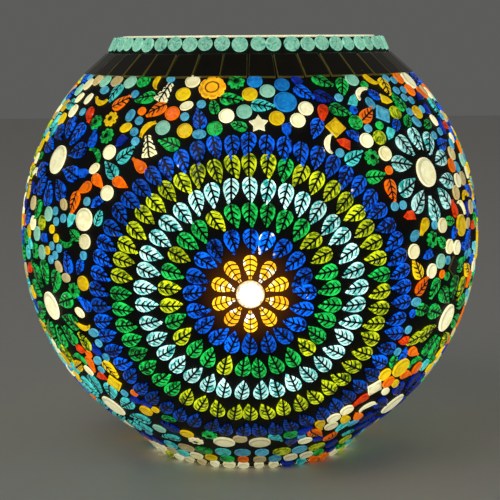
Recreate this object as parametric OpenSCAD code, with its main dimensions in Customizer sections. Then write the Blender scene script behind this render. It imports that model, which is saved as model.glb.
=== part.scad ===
// Mosaic glass table lamp: a blown globe covered with stained glass pieces,
// with a small screw lampholder and bulb standing on its floor.
// Front is -Y, up is +Z, the origin is on the table under the globe's centre.

/* [Globe] */
// Outer radius of the blown glass
glass_r = 111; // [90:1:140]
// Thickness of the blown glass
glass_wall = 3; // [2:0.1:5]
// Latitude where the round globe ends in the sloping heel, in degrees
heel_lat = -56; // [-58:0.5:-55]
// Outer radius of the glass at the rim of the mouth
rim_r = 62.4; // [52:0.2:80]
// Height of the collar that carries the rim discs
collar_h = 9.5; // [8:0.1:12]
// Radius of the foot ring that the globe stands on
foot_r = 47; // [40:0.5:60]
// Height of the sloping heel above the foot ring
heel_h = 15.4; // [13:0.1:20]
// How far the floor is pushed up inside the foot ring
floor_lift = 8; // [7:0.1:12]
// Thickness of the floor
floor_t = 4; // [3:0.1:6]

/* [Mosaic] */
// Thickness of the black grout on the glass
grout_t = 1.6; // [1:0.1:3]
// Thickness of a glass piece
tile_t = 2.4; // [1.5:0.1:3.5]
// Least gap between two glass pieces
tile_gap = 0.4; // [0.2:0.1:1]
// Diameter of a rim disc
rim_disc_d = 7.3; // [6:0.1:9]
// Width of a band square at its lower edge
square_w = 12; // [8:0.1:16]
// Height of a band square
square_h = 14.6; // [10:0.1:16]
// Diameter of a disc in the two lowest rows
base_disc_d = 6.2; // [5:0.1:12]
// Diameter of a disc in the row above it
heel_disc_d = 7.8; // [6:0.1:9]
// Centre spacing of the loose pieces between the patterns
field_pitch = 10.4; // [9:0.1:14]

/* [Mandala] */
// Latitude of the mandala's centre on the globe, in degrees
mandala_lat = -5.5; // [-15:0.5:5]
// Diameter of the mandala's centre disc
medallion_d = 12; // [10:0.1:16]
// Width of a leaf
leaf_w = 6.7; // [5:0.1:7]
// Gap between two rings of leaves
row_gap = 1.2; // [0.8:0.1:2]
// Share of its distance from the inner rings by which an outer ring hangs low
ring_sag = 0.1; // [0:0.01:0.15]

/* [Flowers] */
// Diameter of a flower's centre disc
flower_disc_d = 14.6; // [10:0.1:16]
// Number of petals round a flower
flower_petals = 10; // [6:1:11]
// Distance along the glass from a flower's centre to the middle of a petal
flower_ring = 15.8; // [15:0.1:20]

/* [Lampholder and bulb] */
// Outer radius of the holder's skirt
skirt_r = 13.5; // [12:0.1:16]
// Height of the holder's skirt
skirt_h = 34; // [30:0.5:45]
// Height of the holder's base cap
cap_base_h = 12; // [10:0.5:16]
// Wall of the holder's mouldings
holder_wall = 1.8; // [1.2:0.1:2.5]
// Outer radius of the bulb's screw cap
bulb_cap_r = 6.75; // [6:0.05:7]
// Radial clearance between the bulb's cap and the screw shell
screw_clear = 0.35; // [0.2:0.05:0.6]
// Radius of the bulb's round envelope
bulb_r = 22.5; // [18:0.5:30]
// Radius of the threaded tube that clamps the holder to the floor
nipple_r = 4.9; // [4.5:0.1:6]
// Clearance of the threaded tube in its holes
nipple_clear = 0.3; // [0.1:0.05:0.6]

/* [Fittings] */
// Thickness of a rubber pad under the foot ring
pad_t = 1.6; // [1:0.1:3]
// Radius of a rubber pad
pad_r = 4; // [3:0.1:5]
// Radius of the cable hole through the grommet
cable_r = 3.2; // [2.5:0.1:4]
// Radius of the hole drilled in the glass for the grommet
grommet_hole_r = 5.2; // [4.8:0.1:7]
// Latitude of the cable hole at the back of the globe, in degrees
grommet_lat = -52; // [-53:0.5:-50]

/* [Hidden] */
$fn = 96;
eps = 0.01;
DEG = 180 / PI;
GOLDEN = 180 * (3 - sqrt(5));

// Heights along the globe, counted from the table
foot_z = pad_t;
heel_z = foot_z + heel_h;
centre_h = heel_z - glass_r * sin(heel_lat);
seat_r = glass_r + grout_t;
collar_z = centre_h + sqrt(pow(seat_r, 2) - pow(rim_r + grout_t + 0.45 * collar_h, 2));
rim_z = collar_z + collar_h;
grout_top_z = rim_z - 1;
floor_z = foot_z + floor_lift;
inside_z = floor_z + floor_t;

// Mandala rings: angle from the centre over the globe, and extra gap between two leaves
RINGS = [[6, 0.05], [11.7, 0.05], [17.4, 0.05], [23.4, 0.4], [29.9, 0.2], [36.2, 0.2]];
function ring_arc(k) = RINGS[k][0] / DEG * seat_r;
function ring_leaf(k) = k == 0
    ? 2 * ring_arc(0) - medallion_d - row_gap
    : (ring_arc(k) - ring_arc(k - 1)) * (1 - ring_sag) - row_gap;
function ring_lat(k) = mandala_lat - ring_sag * max(0, RINGS[k][0] - RINGS[1][0]);
outer_reach = ring_arc(5) + ring_leaf(5) / 2 + 1;
mandala_reach = outer_reach + ring_sag * (ring_arc(5) - ring_arc(1));

// Edges of the band of squares over the glass
collar_lat = asin((collar_z - centre_h) / seat_r);
band_low_lat = collar_lat - (square_h + 2) / seat_r * DEG;

// Flowers: azimuth from the front, latitude and colour, repeated on the back half. They stand clear of
// the mandalas and in three steps between the heel and the band
petal_l = 11;
flower_reach = flower_ring + petal_l / 2 + 4.5;
reach_lat = flower_reach / seat_r * DEG;
aside = (mandala_reach + flower_reach) / seat_r * DEG;
low_lat = heel_lat + reach_lat;
mid_lat = low_lat + 2 * reach_lat;
top_lat = mid_lat + 2 * reach_lat;
spare_lat = band_low_lat - reach_lat - top_lat;
FLOWERS = [[-aside - 2, top_lat + 0.57 * spare_lat, "cobalt"],
    [-aside - 2, mid_lat + 0.17 * spare_lat, "green"],
    [4 - aside, low_lat + 1, "aqua"],
    [aside - 7, top_lat + 0.43 * spare_lat, "aqua"],
    [aside + 3, mid_lat, "lime"],
    [aside, low_lat, "navy"]];

// Holder and bulb heights
cushion_t = 2;
base_cap_z = inside_z + cushion_t;
skirt_z = base_cap_z + cap_base_h;
block_r = skirt_r - holder_wall - 0.3;
block_z = skirt_z + 2;
block_h = 8;
terminal_x = skirt_r - 7;
shell_z = block_z + block_h;
shell_in_r = bulb_cap_r + screw_clear;
shell_t = 0.4;
tongue_t = 0.5;
contact_h = 1.6;
insulator_h = 3;
cap_h = 22;
shell_h = cap_h;
contact_z = shell_z + tongue_t + 0.1;
insulator_z = contact_z + contact_h;
bulb_cap_z = insulator_z + insulator_h;
neck_h = 14;
bulb_centre_z = bulb_cap_z + cap_h + neck_h + bulb_r * 0.75;
stem_top = bulb_centre_z - 12;
filament_in = 3.2;
filament_l = 22;
filament_lean = 12;
nipple_bore_r = nipple_r - 1.4;
nut_h = 4;
washer_t = 1.2;
flange_t = 1.6;
flange_gap = 0.3;
grommet_in_r = glass_r - glass_wall - flange_gap - flange_t;
grommet_out_r = seat_r + flange_gap / 2 + flange_t;

// A repeatable number from 0 to 1 for a piece
function noise(i) = let (s = sin(i * 127.1 + 31.7) * 437.585) s - floor(s);

// Radius of the globe's surface, grown by g, where the heel or the collar meets the sphere
function cut_r(z, g) = sqrt(pow(glass_r + g, 2) - pow(z - centre_h, 2));

// Direction of a point at an azimuth and a latitude
function dir(az, lat) = [cos(lat) * sin(az), -cos(lat) * cos(az), sin(lat)];

// Arc distance over the glass between two points given as [azimuth, latitude]
function arc(a, b) = seat_r * acos(min(1, dir(a[0], a[1]) * dir(b[0], b[1]))) / DEG;

// Puts children on the globe, with their Z outwards and their Y towards the mouth
module on_globe(az, lat, r = seat_r) {
    translate([0, 0, centre_h])
        rotate([0, 0, az])
            rotate([90 - lat, 0, 0])
                translate([0, 0, r])
                    children();
}

// Puts children in a level row, at radius r and height z, leaning by lat, but none within
// skip degrees of the back
module in_row(count, r, z, lat, skip = -1) {
    for (i = [0 : count - 1])
        if (abs((i + 0.5) * 360 / count - 180) > skip)
            rotate([0, 0, (i + 0.5) * 360 / count])
                translate([0, -r, z])
                    rotate([90 - lat, 0, 0])
                        children();
}

module disc(d) {
    cylinder(h = tile_t, d = d, $fn = 32);
}

// Leaf with its tip at -Y and its round end at +Y
module leaf(l, w) {
    n = 5;
    side = [for (i = [1 : n]) let (t = i / n)
        [w / 2 * sin(180 * pow(0.93 * t, 1.15)), l * (t - 0.5)]];
    other = [for (i = [n : -1 : 1]) [-side[i - 1][0], side[i - 1][1]]];
    linear_extrude(tile_t)
        polygon(concat([[0, -l / 2]], side, other));
}

// One ring of leaves round the point at az and lat, tips inwards
module leaf_ring(az, lat, ring, count, l, w) {
    for (i = [0 : count - 1])
        on_globe(az, lat, 0)
            rotate([0, 0, i * 360 / count])
                rotate([-ring / seat_r * DEG, 0, 0])
                    translate([0, 0, seat_r])
                        leaf(l, w);
}

module mandala_ring(az, k) {
    pitch = leaf_w + tile_gap + RINGS[k][1];
    count = floor(2 * PI * seat_r * sin(RINGS[k][0]) / pitch);
    leaf_ring(az, ring_lat(k), ring_arc(k), count, ring_leaf(k), leaf_w - (k == 0 ? 0.5 : 0));
}

module flower_ring_of(colour) {
    for (side = [0, 180], f = FLOWERS)
        if (f[2] == colour)
            leaf_ring(f[0] + side, f[1], flower_ring, flower_petals, petal_l, leaf_w);
}

// Loose pieces: an even spiral of places over the glass, less those that a pattern covers
field_n = round(4 * PI * pow(seat_r, 2) / (0.866 * pow(field_pitch, 2)));
field_top = band_low_lat - (0.55 * field_pitch + 0.2) / seat_r * DEG;
field_low = asin((heel_z - centre_h) / seat_r) + 0.45 * field_pitch / seat_r * DEG;
function spot(i) = [i * GOLDEN % 360, asin(1 - (2 * i + 1) / field_n)];
function in_mandala(p) = min([for (az = [0, 180]) arc(p, [az, ring_lat(5)])]) < outer_reach + field_pitch / 2;
function in_flower(p) = min([for (s = [0, 180], f = FLOWERS) arc(p, [f[0] + s, f[1]])]) < flower_reach;
function by_cable(p) = arc(p, [180, grommet_lat]) < grommet_hole_r + 0.75 * field_pitch;
field = [for (i = [0 : field_n - 1]) let (p = spot(i))
    if (p[1] < field_top && p[1] > field_low && !in_mandala(p) && !in_flower(p) && !by_cable(p))
        [p[0], p[1], noise(i)]];

module field_pieces(low, high) {
    for (p = field)
        if (p[2] >= low && p[2] < high)
            on_globe(p[0], p[1])
                rotate([0, 0, 1e4 * p[2] % 360])
                    children();
}

// The globe's outer form grown by g, from the foot ring up to height top
module globe_form(g, top) {
    intersection() {
        translate([0, 0, centre_h]) sphere(r = glass_r + g, $fn = 144);
        translate([0, 0, heel_z]) cylinder(h = collar_z - heel_z, r = glass_r + g + 1, $fn = 144);
    }
    lean = (cut_r(collar_z, g) - rim_r - g) / collar_h;
    translate([0, 0, collar_z])
        cylinder(h = top - collar_z, r1 = cut_r(collar_z, g),
                 r2 = cut_r(collar_z, g) - lean * (top - collar_z),
            $fn = 144);
    translate([0, 0, foot_z]) cylinder(h = heel_h, r1 = foot_r + g, r2 = cut_r(heel_z, g), $fn = 144);
}

// The hollow inside the glass
module globe_hollow() {
    g = -glass_wall;
    intersection() {
        translate([0, 0, centre_h]) sphere(r = glass_r + g, $fn = 144);
        translate([0, 0, heel_z]) cylinder(h = collar_z - heel_z, r = glass_r, $fn = 144);
    }
    translate([0, 0, collar_z])
        cylinder(h = collar_h + eps, r1 = cut_r(collar_z, g), r2 = rim_r + g, $fn = 144);
    slope = (cut_r(heel_z, g) - foot_r - g) / heel_h;
    translate([0, 0, inside_z])
        cylinder(h = heel_z - inside_z, r1 = foot_r + g + slope * (inside_z - foot_z), r2 = cut_r(heel_z, g),
            $fn = 144);
}

// A round rod square to the glass at the back, from radius low to radius high of the globe
module cable_way(r, low = glass_r - 10, high = glass_r + 10) {
    on_globe(180, grommet_lat, low) cylinder(h = high - low, r = r, $fn = 48);
}

module glass_globe() {
    color([0.8, 0.88, 0.86, 0.4])
        difference() {
            globe_form(0, rim_z);
            globe_hollow();
            translate([0, 0, foot_z - 1]) cylinder(h = floor_lift + 1, r = foot_r - 9);
            translate([0, 0, foot_z]) cylinder(h = 20, r = nipple_r + nipple_clear);
            cable_way(grommet_hole_r);
        }
}

module grout_coat() {
    color([0.06, 0.05, 0.03])
        difference() {
            globe_form(grout_t, grout_top_z);
            globe_form(0, rim_z);
            cable_way(grommet_hole_r);
        }
}

module rim_discs() {
    lean = (cut_r(collar_z, grout_t) - rim_r - grout_t) / collar_h;
    z = collar_z + 0.45 * collar_h;
    r = cut_r(collar_z, grout_t) - lean * (z - collar_z);
    count = floor(2 * PI * r / (rim_disc_d + tile_gap));
    color([0.55, 0.78, 0.67])
        in_row(count, r + eps, z, atan(lean)) disc(rim_disc_d);
}

module band_squares() {
    lat = collar_lat - (square_h / 2 + 1) / seat_r * DEG;
    low_r = seat_r * cos(lat) + square_h / 2 * sin(lat);
    top_r = seat_r * cos(lat) - square_h / 2 * sin(lat);
    count = floor(2 * PI * low_r / (square_w + tile_gap));
    top_w = 2 * PI * top_r / count - tile_gap;
    color([0.12, 0.11, 0.05])
        for (i = [0 : count - 1])
            on_globe((i + 0.5) * 360 / count, lat)
                linear_extrude(tile_t)
                    polygon([[-square_w / 2, -square_h / 2], [square_w / 2, -square_h / 2],
                        [top_w / 2, square_h / 2], [-top_w / 2, square_h / 2]]);
}

// A row of discs on the heel, its centres at a distance down the slope
module heel_row(down, d, skip) {
    top_r = cut_r(heel_z, grout_t);
    lat = -atan((top_r - foot_r - grout_t) / heel_h);
    share = down * cos(lat) / heel_h;
    r = top_r - share * (top_r - foot_r - grout_t);
    in_row(floor(2 * PI * r / (d + 2 * tile_gap)), r + eps, heel_z - share * heel_h, lat, skip) disc(d);
}

module heel_discs() { color([0.7, 0.6, 0.3]) heel_row(heel_disc_d / 2 + 0.5, heel_disc_d, 9); }
module base_discs() {
    for (row = [0, 1])
        color([0.85, 0.85, 0.65])
            heel_row(heel_disc_d + 1.1 + base_disc_d / 2 + row * (base_disc_d + 0.6), base_disc_d, -1);
}

module front_medallion() { color([0.98, 0.95, 0.85]) on_globe(0, mandala_lat) disc(medallion_d); }
module front_amber_petals() { color([0.94, 0.65, 0]) mandala_ring(0, 0); }
module front_cobalt_ring_inner() { color([0.06, 0.3, 0.9]) mandala_ring(0, 1); }
module front_green_ring() { color([0.1, 0.6, 0.3]) mandala_ring(0, 2); }
module front_aqua_ring() { color([0.75, 0.94, 0.94]) mandala_ring(0, 3); }
module front_lime_ring() { color([0.75, 0.82, 0.18]) mandala_ring(0, 4); }
module front_cobalt_ring_outer() { color([0.04, 0.25, 0.8]) mandala_ring(0, 5); }
module back_medallion() { color([0.98, 0.95, 0.85]) on_globe(180, mandala_lat) disc(medallion_d); }
module back_amber_petals() { color([0.94, 0.65, 0]) mandala_ring(180, 0); }
module back_cobalt_ring_inner() { color([0.06, 0.3, 0.9]) mandala_ring(180, 1); }
module back_green_ring() { color([0.1, 0.6, 0.3]) mandala_ring(180, 2); }
module back_aqua_ring() { color([0.75, 0.94, 0.94]) mandala_ring(180, 3); }
module back_lime_ring() { color([0.75, 0.82, 0.18]) mandala_ring(180, 4); }
module back_cobalt_ring_outer() { color([0.04, 0.25, 0.8]) mandala_ring(180, 5); }

module flower_discs() {
    color([0.95, 0.92, 0.8])
        for (side = [0, 180], f = FLOWERS)
            on_globe(f[0] + side, f[1]) disc(flower_disc_d);
}
module cobalt_flower_petals() { color([0.04, 0.2, 0.7]) flower_ring_of("cobalt"); }
module aqua_flower_petals() { color([0.4, 0.8, 0.8]) flower_ring_of("aqua"); }
module green_flower_petals() { color([0.1, 0.5, 0.2]) flower_ring_of("green"); }
module lime_flower_petals() { color([0.5, 0.7, 0.15]) flower_ring_of("lime"); }
module navy_flower_petals() { color([0.04, 0.06, 0.4]) flower_ring_of("navy"); }

module cream_discs() { color([0.95, 0.92, 0.78]) field_pieces(0, 0.2) disc(field_pitch - 2.4); }
module tan_discs() { color([0.85, 0.75, 0.5]) field_pieces(0.2, 0.28) disc(field_pitch - 3); }
module aqua_discs() { color([0.5, 0.77, 0.7]) field_pieces(0.28, 0.4) disc(field_pitch - 2.8); }
module sky_dots() { color([0.43, 0.7, 0.8]) field_pieces(0.4, 0.56) disc(field_pitch - 4.8); }
module yellow_discs() { color([0.96, 0.8, 0.1]) field_pieces(0.56, 0.67) disc(field_pitch - 3.2); }
module orange_discs() { color([0.94, 0.4, 0.08]) field_pieces(0.67, 0.77) disc(field_pitch - 3.6); }
module green_leaves() {
    color([0.1, 0.6, 0.35]) field_pieces(0.77, 0.89) leaf(field_pitch - 2.4, field_pitch - 5);
}
module cobalt_leaves() {
    color([0.05, 0.25, 0.8]) field_pieces(0.89, 1) leaf(field_pitch - 2.4, field_pitch - 5.2);
}

module foot_pads() {
    color([0.12, 0.12, 0.12])
        for (a = [0 : 90 : 270])
            rotate([0, 0, a]) translate([foot_r - 4.5, 0, 0]) cylinder(h = pad_t, r = pad_r, $fn = 48);
}

// Rubber grommet in the globe's cable hole, with a flange inside and a flange outside
module cable_grommet() {
    flange_r = grommet_hole_r + 1.8;
    color([0.08, 0.08, 0.08])
        difference() {
            union() {
                cable_way(grommet_hole_r - 0.1, grommet_in_r, grommet_out_r);
                cable_way(flange_r, grommet_in_r, grommet_in_r + flange_t);
                cable_way(flange_r, grommet_out_r - flange_t, grommet_out_r);
            }
            cable_way(cable_r);
        }
}

module ring(z, h, outer, inner) {
    translate([0, 0, z])
        difference() {
            cylinder(h = h, r = outer);
            translate([0, 0, -1]) cylinder(h = h + 2, r = inner);
        }
}

module clamp_nut() {
    color([0.8, 0.65, 0.3])
        translate([0, 0, floor_z - washer_t - nut_h])
            difference() {
                cylinder(h = nut_h, r = nipple_r * 1.75, $fn = 6);
                translate([0, 0, -1]) cylinder(h = nut_h + 2, r = nipple_r + 0.05);
            }
}
module clamp_washer() {
    color([0.7, 0.7, 0.72]) ring(floor_z - washer_t, washer_t, 14, nipple_r + nipple_clear);
}
module cushion_washer() { color([0.1, 0.1, 0.1]) ring(inside_z, cushion_t, 17, nipple_r + nipple_clear); }
module threaded_tube() {
    low = floor_z - washer_t - nut_h;
    color([0.8, 0.65, 0.3]) ring(low, base_cap_z + 7 - low, nipple_r, nipple_bore_r);
}

module holder_base() {
    color([0.1, 0.09, 0.08])
        difference() {
            translate([0, 0, base_cap_z]) cylinder(h = cap_base_h, r1 = skirt_r - 1.5, r2 = skirt_r + 0.8);
            translate([0, 0, base_cap_z + 2])
                cylinder(h = cap_base_h, r1 = skirt_r - 3.5, r2 = skirt_r - 0.6);
            translate([0, 0, base_cap_z - 1]) cylinder(h = 4, r = nipple_r + 0.05);
        }
}
module holder_skirt() { color([0.1, 0.09, 0.08]) ring(skirt_z, skirt_h, skirt_r, skirt_r - holder_wall); }
module holder_shade_ring() {
    color([0.12, 0.1, 0.09])
        difference() {
            union() {
                ring(skirt_z + 12, 6, skirt_r + 2, skirt_r + 0.3);
                ring(skirt_z + 12, 2, skirt_r + 7, skirt_r + 0.3);
            }
        }
}
module contact_block() {
    color([0.9, 0.88, 0.82])
        difference() {
            union() {
                translate([0, 0, block_z]) cylinder(h = block_h, r = block_r);
                ring(skirt_z - 1.2, 3.2 + eps, skirt_r - 3.4, skirt_r - 5);
            }
            for (s = [-1, 1])
                translate([s * terminal_x, 0, block_z - 1]) cylinder(h = block_h + 2, r = 1.25, $fn = 32);
        }
}
module screw_shell() {
    color([0.85, 0.7, 0.35]) ring(shell_z, shell_h, shell_in_r + shell_t, shell_in_r);
}
module centre_tongue() {
    color([0.85, 0.7, 0.35]) translate([-2, -shell_in_r + 2.2, shell_z]) cube([4, shell_in_r + 1, tongue_t]);
}
module terminal_screws() {
    color([0.7, 0.6, 0.35])
        for (s = [-1, 1])
            translate([s * terminal_x, 0, 0]) {
                translate([0, 0, block_z - 1.4]) cylinder(h = 1.4, r = 1.7, $fn = 32);
                translate([0, 0, block_z - 0.2]) cylinder(h = 6, r = 1.2, $fn = 32);
            }
}

module bulb_envelope() {
    neck_z = bulb_cap_z + cap_h;
    wall = 0.8;
    color([1, 0.97, 0.88, 0.6])
        difference() {
            union() {
                translate([0, 0, bulb_centre_z]) sphere(r = bulb_r);
                translate([0, 0, neck_z])
                    cylinder(h = bulb_centre_z - 0.75 * bulb_r - neck_z + 3, r1 = bulb_cap_r - 0.1,
                    r2 = bulb_r * 0.7);
            }
            translate([0, 0, bulb_centre_z]) sphere(r = bulb_r - wall);
            translate([0, 0, neck_z - eps])
                cylinder(h = bulb_centre_z - 0.75 * bulb_r - neck_z + 3, r1 = bulb_cap_r - 0.1 - wall,
                    r2 = bulb_r * 0.7 - wall);
        }
}
module bulb_cap() { color([0.75, 0.75, 0.76]) ring(bulb_cap_z, cap_h, bulb_cap_r, bulb_cap_r - 0.5); }
module bulb_cap_insulator() {
    color([0.05, 0.05, 0.05])
        translate([0, 0, insulator_z]) cylinder(h = insulator_h, r1 = 3.6, r2 = bulb_cap_r - 0.2);
}
module bulb_cap_contact() {
    color([0.7, 0.7, 0.7]) translate([0, 0, contact_z]) cylinder(h = contact_h, r = 2.6);
}
module bulb_stem() {
    color([0.9, 0.95, 0.95, 0.5])
        translate([0, 0, bulb_cap_z + cap_h]) {
            cylinder(h = 10, r1 = bulb_cap_r - 1, r2 = 2);
            translate([0, 0, 10 - eps]) cylinder(h = stem_top - bulb_cap_z - cap_h - 10 + eps, r = 1.4);
        }
}
module bulb_filaments() {
    color([1, 0.8, 0.4])
        for (a = [45 : 90 : 315])
            rotate([0, 0, a])
                translate([filament_in, 0, stem_top + 1])
                    rotate([0, filament_lean, 0]) cylinder(h = filament_l, r = 0.9, $fn = 24);
}
// Post on the stem with four arms to the filaments' feet and four to their heads
module bulb_wires() {
    head_z = stem_top + 1 + filament_l * cos(filament_lean) - 1;
    head_x = filament_in + filament_l * sin(filament_lean);
    color([0.7, 0.7, 0.72]) {
        translate([0, 0, stem_top]) cylinder(h = head_z - stem_top + 0.5, r = 0.5, $fn = 24);
        for (a = [45 : 90 : 315])
            rotate([0, 0, a]) {
                translate([0, 0, stem_top + 1.8]) rotate([0, 90, 0])
                    cylinder(h = filament_in, r = 0.3, $fn = 24);
                translate([0, 0, head_z]) rotate([0, 90, 0]) cylinder(h = head_x, r = 0.3, $fn = 24);
            }
    }
}

glass_globe();
grout_coat();
rim_discs();
band_squares();
front_medallion();
front_amber_petals();
front_cobalt_ring_inner();
front_green_ring();
front_aqua_ring();
front_lime_ring();
front_cobalt_ring_outer();
back_medallion();
back_amber_petals();
back_cobalt_ring_inner();
back_green_ring();
back_aqua_ring();
back_lime_ring();
back_cobalt_ring_outer();
flower_discs();
cobalt_flower_petals();
aqua_flower_petals();
green_flower_petals();
lime_flower_petals();
navy_flower_petals();
cream_discs();
tan_discs();
aqua_discs();
sky_dots();
yellow_discs();
orange_discs();
green_leaves();
cobalt_leaves();
heel_discs();
base_discs();
foot_pads();
cable_grommet();
clamp_nut();
clamp_washer();
cushion_washer();
threaded_tube();
holder_base();
holder_skirt();
holder_shade_ring();
contact_block();
screw_shell();
centre_tongue();
terminal_screws();
bulb_envelope();
bulb_cap();
bulb_cap_insulator();
bulb_cap_contact();
bulb_stem();
bulb_filaments();
bulb_wires();
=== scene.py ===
"""Looks of a mosaic glass table lamp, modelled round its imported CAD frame.

The lamp is a blown glass globe with stained glass pieces set in black grout: a row of discs at the rim, a band of
smoked mirror squares, a mandala of leaves on the front and the back, flowers beside them and loose pieces between.
"""

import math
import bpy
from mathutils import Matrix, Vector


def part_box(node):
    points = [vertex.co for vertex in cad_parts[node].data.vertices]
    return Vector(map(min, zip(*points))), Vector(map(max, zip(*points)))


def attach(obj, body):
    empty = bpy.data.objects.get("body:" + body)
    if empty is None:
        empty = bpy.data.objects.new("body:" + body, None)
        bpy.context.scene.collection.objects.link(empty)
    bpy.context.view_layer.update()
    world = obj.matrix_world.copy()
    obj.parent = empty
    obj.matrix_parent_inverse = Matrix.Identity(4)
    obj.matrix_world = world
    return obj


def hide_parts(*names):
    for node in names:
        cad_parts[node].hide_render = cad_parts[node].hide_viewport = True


bl_info = {
    "name": "Mosaic globe lamp",
    "version": (1, 0, 0),
    "blender": (4, 5, 0),
    "location": "View3D > Sidebar > Lamp",
    "description": "Models a mosaic glass globe lamp piece by piece",
    "category": "Add Mesh",
}

import bpy
import numpy as np
from bpy.props import FloatProperty, IntProperty, PointerProperty, StringProperty
from mathutils import Matrix, Vector

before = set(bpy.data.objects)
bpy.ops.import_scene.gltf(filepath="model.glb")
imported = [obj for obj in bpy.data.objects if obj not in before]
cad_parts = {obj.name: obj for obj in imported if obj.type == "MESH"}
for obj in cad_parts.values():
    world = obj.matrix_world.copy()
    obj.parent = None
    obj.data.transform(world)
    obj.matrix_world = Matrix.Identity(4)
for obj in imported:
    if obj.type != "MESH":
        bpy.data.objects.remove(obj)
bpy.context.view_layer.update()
MM = 0.001
LAMP = "lamp"

# The globe, read from the CAD nodes
GLASS_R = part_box("glass_globe")[1].x
SEAT_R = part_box("grout_coat")[1].x
TILE_TOP_R = SEAT_R + 2.4 * MM
RIM_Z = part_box("glass_globe")[1].z
GROUT_TOP_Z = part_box("grout_coat")[1].z
FOOT_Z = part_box("glass_globe")[0].z
COLLAR_Z = RIM_Z - 9.5 * MM
HEEL_Z = FOOT_Z + 15.4 * MM
CENTRE = Vector((0, 0, HEEL_Z + GLASS_R * math.sin(math.radians(56))))
RIM_R = 62.4 * MM
FOOT_R = 47 * MM
CABLE_LAT = -52
PIECE_T = TILE_TOP_R - GLASS_R - 0.12 * MM
PIECE_LIFT = 0.05 * MM
BULB_AXIS_Z = 98 * MM
MANDALA_LAT = -5.5
RIM_LEAN = math.atan(0.449)
RIM_COUNT = 54
BAND_COUNT = 40
PETALS = 10
PETAL_ARC = 15.9 * MM

# Round areas that loose pieces keep out of: latitude and radius of a mandala, radii of a flower and the cable's hole
MANDALA_CLEAR = (-8.9, 77 * MM)
FLOWER_CLEAR = 22 * MM
CABLE_CLEAR = 7.6 * MM

# Mandala rings: node's name, arc distance from the centre, spacing, leaf length, glass
RINGS = [
    ("amber_petals", 11.8, 7.15, 10.4, "amber"),
    ("cobalt_ring_inner", 23.2, 7.15, 10.6, "cobalt"),
    ("green_ring", 34.6, 7.15, 10.6, "green"),
    ("aqua_ring", 46.4, 7.5, 11.2, "pale_aqua"),
    ("lime_ring", 58.8, 7.3, 11.2, "lime"),
    ("cobalt_ring_outer", 70.8, 7.3, 11.4, "cobalt"),
]

# Flowers on the front half, repeated on the back: azimuth, latitude, glass
FLOWERS = [
    (-57, 22, "cobalt"), (-57, -13, "green"), (-51, -41.9, "turquoise"),
    (48, 19, "pale_aqua"), (58, -17, "green_mix"), (55, -42.9, "navy"),
]

# Shapes of loose pieces: half width, half length and the room a piece takes, in millimetres
SHAPES = {
    "disc": (3.4, 3.4, 3.4), "big": (5.1, 5.1, 5.1), "dot": (2.0, 2.0, 2.0), "oval": (2.1, 3.1, 2.6),
    "leaf": (3.1, 5.2, 4.2), "sprig": (2.3, 3.8, 3.1), "drop": (2.5, 4.6, 3.6), "shard": (2.2, 3.4, 2.9),
    "moon": (2.0, 4.6, 3.4), "daisy": (3.8, 3.8, 3.8), "star": (4.3, 4.3, 4.0), "square": (3.5, 3.5, 4.2),
    "fern": (3.6, 5.3, 4.6), "rosette": (6.0, 6.0, 6.0),
}

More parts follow.
